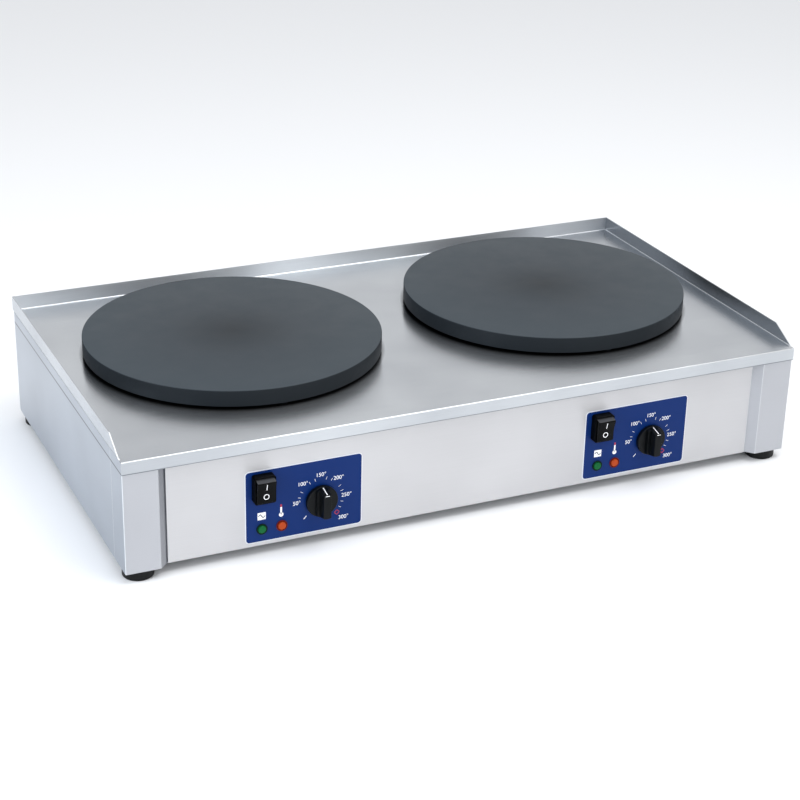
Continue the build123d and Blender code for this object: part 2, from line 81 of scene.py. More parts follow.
# ---- Small tools ------------------------------------------------------------------------------
def linear(code):
    """An sRGB hex colour as linear red, green, blue and alpha."""
    parts = [int(code[i:i + 2], 16) / 255 for i in (1, 3, 5)]
    return [p / 12.92 if p <= 0.04045 else ((p + 0.055) / 1.055) ** 2.4 for p in parts] + [1.0]


def clear_selection():
    bpy.ops.object.select_all(action="DESELECT")


def activate(piece):
    clear_selection()
    piece.select_set(True)
    bpy.context.view_layer.objects.active = piece


def edit(piece, kind, chosen):
    """Enter edit mode on a piece with the chosen faces, edges or vertices selected, and no
    others."""
    activate(piece)
    bpy.ops.object.mode_set(mode="EDIT")
    bpy.ops.mesh.select_mode(type=kind)
    bpy.ops.mesh.select_all(action="DESELECT")
    shape = bmesh.from_edit_mesh(piece.data)
    for item in {"FACE": shape.faces, "EDGE": shape.edges, "VERT": shape.verts}[kind]:
        if chosen(item):
            item.select_set(True)
    shape.select_flush_mode()
    bmesh.update_edit_mesh(piece.data)


def leave_edit():
    bpy.ops.object.mode_set(mode="OBJECT")


def cylinder(radius, depth, place, axis="Z", vertices=64):
    """A closed cylinder about its middle, along Z or along Y."""
    clear_selection()
    turn = (0, 0, 0) if axis == "Z" else (radians(90), 0, 0)
    bpy.ops.mesh.primitive_cylinder_add(
        vertices=vertices, radius=radius, depth=depth, location=place, rotation=turn
    )
    return bpy.context.active_object


def block(size, place):
    clear_selection()
    bpy.ops.mesh.primitive_cube_add(size=1, location=place)
    piece = bpy.context.active_object
    piece.scale = size
    bpy.ops.object.transform_apply(location=False, rotation=False, scale=True)
    return piece


def settle(piece):
    """Put a piece's place into its mesh, with its object at the origin."""
    activate(piece)
    bpy.ops.object.transform_apply(location=True, rotation=True, scale=True)


def joined(first, *others):
    activate(first)
    for piece in others:
        piece.select_set(True)
    bpy.ops.object.join()
    return first


def modified(piece, kind, **settings):
    """Add a modifier and apply it."""
    activate(piece)
    modifier = piece.modifiers.new(kind.title(), kind)
    for name, value in settings.items():
        setattr(modifier, name, value)
    bpy.ops.object.modifier_apply(modifier=modifier.name)
    return piece


def eased(piece, width, segments=3, angle=30):
    """Round every edge sharper than the angle."""
    limits = {"limit_method": "ANGLE", "angle_limit": radians(angle)}
    return modified(piece, "BEVEL", width=width, segments=segments, **limits)


def is_level(edge):
    return abs(edge.verts[0].co.z - edge.verts[1].co.z) < 0.1 * mm


def bevel_chosen(width, segments):
    """Round the edges chosen in edit mode, and leave it."""
    bpy.ops.mesh.bevel(offset=width, segments=segments, profile=0.5)
    leave_edit()


def recess_chosen(inset, depth):
    """Inset the faces chosen in edit mode, sink what lies inside, and leave it."""
    bpy.ops.mesh.inset(thickness=inset)
    bpy.ops.mesh.inset(thickness=0, depth=-depth)
    leave_edit()


def placed(piece, name, material, body, smooth=35):
    """Name and finish a piece, and let it move with its body."""
    settle(piece)
    if smooth:
        bpy.ops.object.shade_smooth_by_angle(angle=radians(smooth))
    piece.name = name
    piece.data.materials.clear()
    piece.data.materials.append(material)
    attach(piece, body)


# ---- Materials --------------------------------------------------------------------------------
def node(tree, kind, links=(), **settings):
    """Add a node, set its values and join its inputs. A link is (input, source node, output),
    and a pair (input, value) sets an input that has no name of its own."""
    made = tree.nodes.new(kind)
    for name, value in settings.items():
        if hasattr(made, name):
            setattr(made, name, value)
        else:
            made.inputs[name.replace("_", " ")].default_value = value
    for target, *given in links:
        if len(given) == 1:
            made.inputs[target].default_value = given[0]
        else:
            tree.links.new(given[0].outputs[given[1]], made.inputs[target])
    return made


def surface(name, colour, roughness, metallic=0.0, **settings):
    """A new material and its shader, whose sockets hold the typical values."""
    material = bpy.data.materials.new(name)
    material.use_nodes = True
    shader = material.node_tree.nodes["Principled BSDF"]
    shader.inputs["Base Color"].default_value = linear(colour)
    shader.inputs["Roughness"].default_value = roughness
    shader.inputs["Metallic"].default_value = metallic
    for socket, value in settings.items():
        shader.inputs[socket.replace("_", " ")].default_value = value
    return material, material.node_tree, shader


def feed(tree, shader, **sources):
    """Join outputs to the shader's sockets, each given as (source node, output)."""
    for socket, (source, output) in sources.items():
        tree.links.new(source.outputs[output], shader.inputs[socket.replace("_", " ")])


def ramp_colours(ramp, *stops):
    """Set a colour ramp's stops from (position, colour) pairs."""
    elements = ramp.color_ramp.elements
    while len(elements) < len(stops):
        elements.new(0.5)
    for element, (position, colour) in zip(elements, stops):
        element.position = position
        element.color = linear(colour)


rim_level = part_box("worktop")[0].z  # lower edge of the worktop's apron and side rims
seam_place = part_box("corner_post_left")[1].y  # where the corner posts meet the side panels
scratch_gap = 0.6 * mm  # between the scratches of the brushing
scratch_length = 90 * mm
# Painted highlight on folds and seams, and painted shade in crevices.
fold_highlight_tone, crevice_shade_tone = "#DDE0E3", "#5C5F64"
plate_low, plate_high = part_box("hot_plate_right")
plate_middle = (plate_low + plate_high) / 2
plate_radius = (plate_high.x - plate_low.x) / 2


def off_line(tree, apart, axis, level, near, far):
    """0 within the near distance of a level along an axis, rising to 1 at the far distance."""
    past = node(tree, "ShaderNodeMath", [(0, apart, axis), (1, level)], operation="SUBTRACT")
    away = node(tree, "ShaderNodeMath", [(0, past, "Value")], operation="ABSOLUTE")
    return node(tree, "ShaderNodeMapRange", [("Value", away, "Value")], From_Min=near, From_Max=far)


def brushing(tree, place, apart, upward, grain):
    """Noise drawn out along the grain's axes. On a sheet brushed flat along X it climbs the
    sheet's upturned edges, as the scratches do that were there before the sheet was folded."""
    coordinates = (place, "Object")
    scale = [1 / scratch_length if axis in grain else 1 / scratch_gap for axis in "XYZ"]
    if grain == "X":
        climb = node(
            tree, "ShaderNodeVectorMath", [(0, upward, "Vector"), ("Scale", apart, "Z")],
            operation="SCALE",
        )
        unrolled = node(
            tree, "ShaderNodeVectorMath", [(0, place, "Object"), (1, climb, "Vector")],
            operation="ADD",
        )
        coordinates = (unrolled, "Vector")
        scale[2] = 0.0
    stretch = node(tree, "ShaderNodeMapping", [("Vector", *coordinates)], Scale=scale)
    return node(
        tree, "ShaderNodeTexNoise", [("Vector", stretch, "Vector")],
        Scale=1.0, Detail=4.0, Roughness=0.65,
    )


def from_plate_middle(tree, place):
    """How far each point lies from the middle of the nearer plate, seen from above."""
    apart = node(tree, "ShaderNodeSeparateXYZ", [("Vector", place, "Object")])
    either = node(tree, "ShaderNodeMath", [(0, apart, "X")], operation="ABSOLUTE")
    local = node(tree, "ShaderNodeCombineXYZ", [("X", either, "Value"), ("Y", apart, "Y")])
    middle = (plate_middle.x, plate_middle.y, 0)
    centred = node(
        tree, "ShaderNodeVectorMath", [(0, local, "Vector"), (1, middle)], operation="SUBTRACT"
    )
    return node(tree, "ShaderNodeVectorMath", [(0, centred, "Vector")], operation="LENGTH")


def painted_plate_shadow(tree, place, tone):
    """The tone, darker below the hot plates' rims: a painted shadow of the plates."""
    reach = from_plate_middle(tree, place)
    past_rim = node(
        tree, "ShaderNodeMapRange", [("Value", reach, "Value")],
        From_Min=plate_radius - 2 * mm, From_Max=plate_radius + 5 * mm,
    )
    baked = node(tree, "ShaderNodeValToRGB", [("Fac", past_rim, "Result")])
    ramp_colours(baked, (0.0, "#6E6E6E"), (1.0, "#FFFFFF"))
    return node(
        tree, "ShaderNodeMixRGB", [("Color1", tone, "Color"), ("Color2", baked, "Color")],
        blend_type="MULTIPLY", Fac=1.0,
    )


def brushed_steel(
    name, grain, tones, side_shade_tones=None, roughness=0.3, joint_shadow_tone="#5A5D61", seam=None,
    plate_shadow=False,
):
    """Steel sheet brushed with a belt: fine parallel scratches along the grain's axes, which
    drag the reflections out across them. They are drawn 0.6 mm apart, coarser than the real
    ones, so that they show. Faces that look sideways may take cooler tones, painted shade set
    by which way the face looks. Folds are duller, because bending opens the grain, and painted
    bright: a painted highlight. Level grain on upright sheet is duller too. Painted shade
    darkens crevices, and a painted shadow runs along the joint under the worktop's rim. The
    seam between corner post and side panel takes the folds' painted highlight, and a painted
    shadow darkens the steel under the hot plates' rims."""
    material, tree, shader = surface(name, tones[1], roughness, metallic=1.0, Anisotropic=0.8)
    place = node(tree, "ShaderNodeTexCoord")
    apart = node(tree, "ShaderNodeSeparateXYZ", [("Vector", place, "Object")])
    upward = node(tree, "ShaderNodeVectorMath", [(0, place, "Normal")], operation="ABSOLUTE")
    lean = node(tree, "ShaderNodeSeparateXYZ", [("Vector", upward, "Vector")])
    across = node(
        tree, "ShaderNodeVectorMath",
        [(0, place, "Normal"), (1, (1, 1, 0) if grain == "XY" else (1, 0, 0.15))],
        operation="CROSS_PRODUCT",
    )
    scratches = brushing(tree, place, apart, upward, grain)
    clouds = node(tree, "ShaderNodeTexNoise", [("Vector", place, "Object")], Scale=6.0, Detail=2.0)
    blend = node(
        tree, "ShaderNodeMath", [(0, scratches, "Fac"), (1, 0.5), (2, clouds, "Fac")],
        operation="MULTIPLY_ADD",
    )
    tone = node(tree, "ShaderNodeValToRGB", [("Fac", blend, "Value")])
    ramp_colours(tone, (0.5, tones[0]), (1.0, tones[1]))
    # Painted shade: faces that look along X take the cooler, darker side tones.
    if side_shade_tones:
        cooler = node(tree, "ShaderNodeValToRGB", [("Fac", blend, "Value")])
        ramp_colours(cooler, (0.5, side_shade_tones[0]), (1.0, side_shade_tones[1]))
        sideways = node(
            tree, "ShaderNodeMapRange", [("Value", lean, "X")], From_Min=0.8, From_Max=0.97
        )
        tone = node(
            tree, "ShaderNodeMixRGB",
            [("Fac", sideways, "Result"), ("Color1", tone, "Color"), ("Color2", cooler, "Color")],
        )
    # Painted shadow under the hot plates' rims.
    if plate_shadow:
        tone = painted_plate_shadow(tree, place, tone)

    # Folds are the faces that lie square to no axis. A 45 degree face is a flat one.
    steepest = node(
        tree, "ShaderNodeMath", [(0, lean, "X"), (1, lean, "Y")], operation="MAXIMUM"
    )
    squarest = node(
        tree, "ShaderNodeMath", [(0, steepest, "Value"), (1, lean, "Z")], operation="MAXIMUM"
    )
    plain = node(tree, "ShaderNodeValToRGB", [("Fac", squarest, "Value")])
    ramp_colours(
        plain, (0.715, "#FFFFFF"), (0.75, "#000000"), (0.88, "#000000"), (0.96, "#FFFFFF")
    )
    # Painted highlight: the seam line takes the bright fold tone.
    if seam:
        clear_of_seam = off_line(tree, apart, "Y", seam, 0.5 * mm, 1.1 * mm)
        plain = node(
            tree, "ShaderNodeMixRGB",
            [("Color1", clear_of_seam, "Result"), ("Color2", plain, "Color")],
            blend_type="MULTIPLY", Fac=1.0,
        )
    # Painted highlight: folds, and the seam, take the bright fold tone.
    with_fold_highlight = node(
        tree, "ShaderNodeMixRGB", [("Fac", plain, "Color"), ("Color2", tone, "Color")],
        Color1=linear(fold_highlight_tone),
    )

    # Painted shade: an ambient occlusion mask darkens crevices and inside corners.
    crevice = node(tree, "ShaderNodeAmbientOcclusion", Distance=2.5 * mm)
    crevice_shade = node(tree, "ShaderNodeValToRGB", [("Fac", crevice, "AO")])
    ramp_colours(crevice_shade, (0.25, crevice_shade_tone), (0.6, "#FFFFFF"))
    # Painted shadow: a dark line along the worktop's lower rim edge, where the joint's shadow
    # falls.
    clear_of_rim = off_line(tree, apart, "Z", rim_level, 0.5 * mm, 1.2 * mm)
    joint = node(tree, "ShaderNodeValToRGB", [("Fac", clear_of_rim, "Result")])
    ramp_colours(joint, (0.0, joint_shadow_tone), (1.0, "#FFFFFF"))
    finish = with_fold_highlight
    for shade in (crevice_shade, joint):
        finish = node(
            tree, "ShaderNodeMixRGB", [("Color1", finish, "Color"), ("Color2", shade, "Color")],
            blend_type="MULTIPLY", Fac=1.0,
        )

    dull = node(
        tree, "ShaderNodeMapRange", [("Value", scratches, "Fac")],
        To_Min=roughness - 0.05, To_Max=roughness + 0.05,
    )
    on_folds = node(
        tree, "ShaderNodeMapRange", [("Value", squarest, "Value")],
        From_Min=0.75, From_Max=0.99, To_Min=0.16, To_Max=0.0,
    )
    upright = node(
        tree, "ShaderNodeMapRange", [("Value", lean, "Y")], From_Min=0.8, To_Max=0.14
    )
    folded = node(
        tree, "ShaderNodeMath", [(0, dull, "Result"), (1, on_folds, "Result")], operation="ADD"
    )
    rough = node(
        tree, "ShaderNodeMath", [(0, folded, "Value"), (1, upright, "Result")], operation="ADD"
    )
    bump = node(
        tree, "ShaderNodeBump", [("Height", scratches, "Fac")], Strength=0.16, Distance=0.12 * mm
    )
    feed(
        tree, shader, Base_Color=(finish, "Color"), Roughness=(rough, "Value"),
        Normal=(bump, "Normal"), Tangent=(across, "Vector"),
    )
    return material


def moulded(name, colour, roughness, grain_mm, depth=0.1, **settings):
    """Moulded plastic or rubber: one colour with the faint matt grain of the mould, drawn
    coarser than the real one so that it shows."""
    material, tree, shader = surface(name, colour, roughness, **settings)
    place = node(tree, "ShaderNodeTexCoord")
    grain = node(
        tree, "ShaderNodeTexNoise", [("Vector", place, "Object")],
        Scale=1 / (grain_mm * mm), Detail=3.0,
    )
    dull = node(
        tree, "ShaderNodeMapRange", [("Value", grain, "Fac")],
        To_Min=roughness - 0.07, To_Max=roughness + 0.07,
    )
    bump = node(
        tree, "ShaderNodeBump", [("Height", grain, "Fac")],
        Strength=depth, Distance=grain_mm * mm / 4,
    )
    feed(tree, shader, Roughness=(dull, "Result"), Normal=(bump, "Normal"))
    return material


def seasoned_cast_iron():
    """Cast iron, face turned flat and seasoned with oil: slate grey, blacker on the sides as
    painted shade, with faint turning rings drawn 1.6 mm apart so that they show, a darker patch
    burnt in at the middle, and a satin sheen."""
    ring_gap, grain_size = 1.6 * mm, 1.2 * mm
    material, tree, shader = surface("seasoned_cast_iron", "#3A4248", 0.5, Specular_IOR_Level=0.2)
    place = node(tree, "ShaderNodeTexCoord")
    reach = from_plate_middle(tree, place)
    mottle = node(tree, "ShaderNodeTexNoise", [("Vector", place, "Object")], Scale=28.0, Detail=5.0)
    wander = node(
        tree, "ShaderNodeMath", [(0, mottle, "Fac"), (1, 0.045), (2, reach, "Value")],
        operation="MULTIPLY_ADD",
    )
    tone = node(tree, "ShaderNodeValToRGB", [("Fac", wander, "Value")])
    ramp_colours(tone, (0.02, "#21272C"), (0.11, "#343B41"), (0.2, "#384046"))
    # Painted shade: faces that look sideways turn blacker.
    level = node(tree, "ShaderNodeSeparateXYZ", [("Vector", place, "Normal")])
    face = node(tree, "ShaderNodeMapRange", [("Value", level, "Z")], From_Min=0.2, From_Max=0.95)
    shaded_sides = node(
        tree, "ShaderNodeMixRGB", [("Fac", face, "Result"), ("Color2", tone, "Color")],
        Color1=linear("#171D22"),
    )
    turning = node(
        tree, "ShaderNodeMath", [(0, reach, "Value"), (1, 2 * pi / ring_gap)], operation="MULTIPLY"
    )
    rings = node(tree, "ShaderNodeMath", [(0, turning, "Value")], operation="SINE")
    grain = node(
        tree, "ShaderNodeTexNoise", [("Vector", place, "Object")], Scale=1 / grain_size, Detail=4.0
    )
    height = node(
        tree, "ShaderNodeMath", [(0, rings, "Value"), (1, 0.15), (2, grain, "Fac")],
        operation="MULTIPLY_ADD",
    )
    bump = node(
        tree, "ShaderNodeBump", [("Height", height, "Value")], Strength=0.25, Distance=0.08 * mm
    )
    dull = node(tree, "ShaderNodeMapRange", [("Value", mottle, "Fac")], To_Min=0.42, To_Max=0.6)
    feed(
        tree, shader, Base_Color=(shaded_sides, "Color"), Roughness=(dull, "Result"),
        Normal=(bump, "Normal"),
    )
    return material


def printed_polyester():
    """Screen-printed polyester sheet: a deep blue face with a fine texture, drawn 0.5 mm
    across so that it shows, and pale at its cut edge."""
    blue, grain_size = "#062A68", 0.5 * mm
    material, tree, shader = surface("printed_polyester", blue, 0.4, Specular_IOR_Level=0.15)
    place = node(tree, "ShaderNodeTexCoord")
    apart = node(tree, "ShaderNodeSeparateXYZ", [("Vector", place, "Normal")])
    facing = node(tree, "ShaderNodeMath", [(0, apart, "Y")], operation="ABSOLUTE")
    tone = node(tree, "ShaderNodeValToRGB", [("Fac", facing, "Value")])
    ramp_colours(tone, (0.35, "#B9C3DC"), (0.75, blue))
    grain = node(
        tree, "ShaderNodeTexNoise", [("Vector", place, "Object")], Scale=1 / grain_size, Detail=2.0
    )
    bump = node(
        tree, "ShaderNodeBump", [("Height", grain, "Fac")], Strength=0.08, Distance=0.05 * mm
    )
    feed(tree, shader, Base_Color=(tone, "Color"), Normal=(bump, "Normal"))
    return material


def lamp_lens(name, colour):
    """Injection-moulded transparent polycarbonate: a saturated body under a clear gloss, a
    little uneven over 3 mm, as where the bulb behind shows, with a ripple 1 mm across."""
    material, tree, shader = surface(
        name, colour, 0.25, Coat_Weight=0.1, Coat_Roughness=0.1, Specular_IOR_Level=0.12
    )
    place = node(tree, "ShaderNodeTexCoord")
    mottle = node(
        tree, "ShaderNodeTexNoise", [("Vector", place, "Object")], Scale=1 / (3 * mm), Detail=2.0
    )
    body = linear(colour)[:3]
    darker, lighter = ([share * part for part in body] + [1.0] for share in (0.8, 1.15))
    tone = node(
        tree, "ShaderNodeMixRGB", [("Fac", mottle, "Fac")], Color1=darker, Color2=lighter
    )
    ripple = node(
        tree, "ShaderNodeTexNoise", [("Vector", place, "Object")], Scale=1 / (1 * mm), Detail=1.0
    )
    bump = node(
        tree, "ShaderNodeBump", [("Height", ripple, "Fac")], Strength=0.1, Distance=0.1 * mm
    )
    feed(tree, shader, Base_Color=(tone, "Color"), Normal=(bump, "Normal"))
    return material


def polycarbonate_lit_on_top():
    """Glossy black polycarbonate, moulded: deep black on its face, and greyer on faces that look
    up, a painted highlight."""
    black = "#050607"
    material = moulded(
        "moulded_polycarbonate_black", black, 0.22, grain_mm=0.4, depth=0.05,
        Specular_IOR_Level=0.08,
    )
    tree = material.node_tree
    place = node(tree, "ShaderNodeTexCoord")
    apart = node(tree, "ShaderNodeSeparateXYZ", [("Vector", place, "Normal")])
    # Painted highlight: faces that look up turn grey.
    tone = node(tree, "ShaderNodeValToRGB", [("Fac", apart, "Z")])
    ramp_colours(tone, (0.72, black), (0.93, "#48494C"))
    feed(tree, tree.nodes["Principled BSDF"], Base_Color=(tone, "Color"))
    return material


deck_steel = brushed_steel(
    "brushed_stainless_deck", "X", ("#B6BABF", "#CDD1D5"), roughness=0.235, joint_shadow_tone="#A4A7AB",
    plate_shadow=True,
)
upright = {"side_shade_tones": ("#AEB4BC", "#BEC4CC"), "roughness": 0.34, "seam": seam_place}
casing_steel = brushed_steel("brushed_stainless_casing", "XY", ("#CACACC", "#D5D5D7"), **upright)
# Painted shade: the posts take a darker copy of the casing's steel.
post_steel_shaded = brushed_steel("brushed_stainless_posts", "XY", ("#BBBDC2", "#C5C7CC"), **upright)
tray_steel = brushed_steel("galvanised_sheet", "X", ("#8E9296", "#A4A8AC"), roughness=0.5)
zinc_steel = brushed_steel("zinc_plated_steel", "Z", ("#B4B6B4", "#C6C8C6"), roughness=0.35)
oxide_steel = brushed_steel("oxidised_steel_sheath", "X", ("#3A3632", "#4A4540"), roughness=0.55)
cast_iron = seasoned_cast_iron()
overlay_blue = printed_polyester()
# Screen ink is dense and matt. The white one is given a faint glow: painted light that keeps it
# clean against the blue.
film = {"grain_mm": 0.5, "depth": 0.03}
ink_white = moulded(
    "screen_ink_white", "#FAFBFD", 0.5, **film,
    Emission_Color=linear("#FFFFFF"), Emission_Strength=0.06,
)
ink_red = moulded("screen_ink_red", "#B02C46", 0.5, **film)
ink_grey = moulded("screen_ink_grey", "#1E2433", 0.5, **film)
# The clear film round the print catches the light as a pale line.
clear_edge = moulded("clear_polyester_edge", "#E6EAF0", 0.4, **film)
# Phenolic is moulded hard and takes a satin gloss, nylon stays duller, and rubber dullest.
knob_phenolic = moulded(
    "moulded_phenolic", "#090C0E", 0.3, grain_mm=0.35, depth=0.05, Specular_IOR_Level=0.15
)
switch_nylon = moulded(
    "moulded_nylon_black", "#050607", 0.45, grain_mm=0.3, Specular_IOR_Level=0.04
)
rocker_gloss = polycarbonate_lit_on_top()
barrel_nylon = moulded("moulded_nylon_natural", "#D8D6CE", 0.5, grain_mm=0.3)
foot_rubber = moulded(
    "moulded_rubber", "#0C0D0E", 0.5, grain_mm=0.5, depth=0.15, Specular_IOR_Level=0.2
)
# Painted light: each lens takes a darker copy of its polycarbonate on the flange, painted shade,
# and a brighter copy on the dome, painted light passing through it.
lamp_colours = {  # of the flange, and of the brighter dome
    "green": (
        lamp_lens("polycarbonate_green_deep", "#02261A"),
        lamp_lens("polycarbonate_green", "#02602F"),
    ),
    "orange": (
        lamp_lens("polycarbonate_orange_deep", "#6A1A0C"),
        lamp_lens("polycarbonate_orange", "#B04418"),
    ),
}


def dress(material, *names):
    """Give CAD nodes their material."""
    for name in names:
        nodes[name].data.materials.clear()
        nodes[name].data.materials.append(material)


dress(deck_steel, "worktop")
dress(casing_steel, "front_panel", "back_panel", "side_panel_left", "side_panel_right")
dress(post_steel_shaded, "corner_post_left", "corner_post_right")
dress(tray_steel, "base_tray", "worktop_brace")
dress(switch_nylon, "cable_gland", "cable_gland_nut")
for side in sides:
    dress(oxide_steel, f"heating_elements_{side}")
    dress(tray_steel, f"element_clamp_{side}", f"element_pan_{side}", f"thermostat_body_{side}")
    dress(zinc_steel, f"plate_fixing_{side}", f"thermostat_shaft_{side}")
    dress(overlay_blue, f"control_overlay_{side}")
    dress(barrel_nylon, f"green_lamp_body_{side}", f"orange_lamp_body_{side}")
    dress(switch_nylon, f"switch_body_{side}")


# ---- Hot plates -------------------------------------------------------------------------------
upstand_height = 20.0 * mm
plate_gap = 4.0 * mm  # between the deck and the plate's rim
rim_width, cavity = 28.0 * mm, 7.0 * mm
plate_edge = 1.1 * mm
boss_radius, boss_angles = 7.0 * mm, (30, 150, 270)


def make_hot_plate(side):
    """A turned plate with a hollow underside, standing on three bosses cast under its rim."""
    low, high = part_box(f"hot_plate_{side}")
    deck_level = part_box("worktop")[1].z - upstand_height
    thickness = high.z - deck_level - plate_gap
    middle = Vector(((low.x + high.x) / 2, (low.y + high.y) / 2, high.z - thickness / 2))
    plate = cylinder(plate_radius, thickness, middle, vertices=224)
    edit(plate, "FACE", lambda face: face.normal.z < -0.9)
    recess_chosen(rim_width, cavity)
    edit(plate, "EDGE", lambda edge: is_level(edge)
         and all(v.co.xy.length > plate_radius - mm for v in edge.verts))
    bevel_chosen(plate_edge, 4)
    bosses = []
    for angle in boss_angles:
        reach = plate_radius - rim_width / 2
        foot = middle + Vector((reach * cos(radians(angle)), reach * sin(radians(angle)), 0))
        foot.z = deck_level + plate_gap / 2
        bosses.append(cylinder(boss_radius, plate_gap, foot, vertices=32))
    plate = joined(plate, *bosses)
    placed(plate, f"hot_plate_dressed_{side}", cast_iron, "casing", smooth=30)
    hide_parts(f"hot_plate_{side}")


# ---- Knobs ------------------------------------------------------------------------------------
joints = {joint["name"]: joint for joint in frame["joints"]}
knob_radius, knob_depth, knob_gap = 21.0 * mm, 22.5 * mm, 0.8 * mm
skirt_depth, step_depth = 6.0 * mm, 11.0 * mm
step_width, grip_width = 19.0 * mm, 11.5 * mm
skirt_round, bar_round = 0.9 * mm, 0.7 * mm
grip_end = 20.2 * mm  # reach of the grip's ends where they leave the skirt
grip_end_slope = radians(12.0)
pointer_width, pointer_depth, pointer_sunk = 1.3 * mm, 0.3 * mm, 0.05 * mm
pointer_start, pointer_stop = 1.0 * mm, 0.6 * mm  # from the grip's front, and from the skirt
tick_width, tick_height, tick_drop = 5.6 * mm, 0.8 * mm, 1.3 * mm


def tapered_bar(width, depth, place, narrowing):
    """A bar across the knob, from its rear face forward, narrower in front, with its ends cut
    by the skirt's cylinder and by the cone that carries on from it."""
    bar = block((width, depth, 2 * knob_radius), place + Vector((0, -depth / 2, 0)))
    edit(bar, "FACE", lambda face: face.normal.y < -0.9)
    bpy.ops.transform.resize(value=((width - narrowing) / width, 1, 1))
    leave_edit()
    cone_height = grip_end / tan(grip_end_slope)
    clear_selection()
    bpy.ops.mesh.primitive_cone_add(
        vertices=128, radius1=grip_end, depth=cone_height, rotation=(radians(90), 0, 0),
        location=place + Vector((0, -skirt_depth - cone_height / 2, 0)),
    )
    drum = (grip_end, skirt_depth, place + Vector((0, -skirt_depth / 2, 0)), "Y", 128)
    limit = joined(bpy.context.active_object, cylinder(*drum))

    def is_inside(face):
        """Whether a face is one of the two discs where cone and cylinder meet."""
        ahead = place.y - (limit.matrix_world @ face.calc_center_median()).y
        return len(face.verts) > 4 and abs(ahead - skirt_depth) < 0.01 * mm

    edit(limit, "VERT", lambda vertex: True)
    bpy.ops.mesh.remove_doubles(threshold=0.001 * mm)
    leave_edit()
    edit(limit, "FACE", is_inside)
    bpy.ops.mesh.delete(type="ONLY_FACE")
    leave_edit()
    modified(bar, "BOOLEAN", object=limit, operation="INTERSECT", solver="EXACT")
    bpy.data.objects.remove(limit)
    return eased(bar, bar_round)


def make_knob(side):
    """A skirt, a broad step and a grip, and a white pointer that runs up the grip's end."""
    centre = Vector(joints[f"dial_turn_{side}"]["pos_m"])
    rear = centre + Vector((0, -knob_gap, 0))
    skirt = cylinder(knob_radius, skirt_depth, rear + Vector((0, -skirt_depth / 2, 0)), "Y", 128)
    eased(skirt, skirt_round, 4)
    step = tapered_bar(step_width, step_depth, rear, narrowing=0.6 * mm)
    grip = tapered_bar(grip_width, knob_depth, rear, narrowing=1.2 * mm)
    knob = joined(skirt, step, grip)
    placed(knob, f"knob_dressed_{side}", knob_phenolic, f"dial_{side}", smooth=30)
    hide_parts(f"knob_{side}")
    front = rear.y - knob_depth
    grip_length = knob_depth - skirt_depth
    fall = grip_length * tan(grip_end_slope)
    top = centre.z + grip_end
    line_length = (grip_length - pointer_start - pointer_stop) / cos(grip_end_slope)
    line_middle = front + (grip_length + pointer_start - pointer_stop) / 2
    line = block(
        (pointer_width, line_length, pointer_depth),
        (centre.x, line_middle, top - fall / 2 - pointer_sunk),
    )
    line.rotation_euler = (grip_end_slope, 0, 0)
    settle(line)
    tick_place = (centre.x, front + pointer_sunk, top - fall - tick_drop)
    tick = block((tick_width, pointer_depth, tick_height), tick_place)
    pointer = eased(joined(line, tick), 0.1 * mm, 2)
    placed(pointer, f"knob_pointer_{side}", ink_white, f"dial_{side}")


# ---- Rocker switches --------------------------------------------------------------------------
collar_width, collar_height, collar_wall = 28.0 * mm, 37.0 * mm, 1.3 * mm
rocker_gap = 0.4 * mm
rocker_pivot, rocker_middle = 4.5 * mm, 14.8 * mm  # in front of the overlay
rocker_tilt = radians(8.0)
rocker_dish = 1.9 * mm  # depth of the face's middle below its ends
rocker_behind = 1.0 * mm  # back of the rocker behind its pivot
rocker_end_round, rocker_edge_round = 1.9 * mm, 0.5 * mm
stroke_size, stroke_level = (0.9 * mm, 0.2 * mm, 8.8 * mm), 8.6 * mm
ring_radius, ring_weight, ring_level = 3.3 * mm, 0.48 * mm, -5.6 * mm
ring_flatness = 0.15


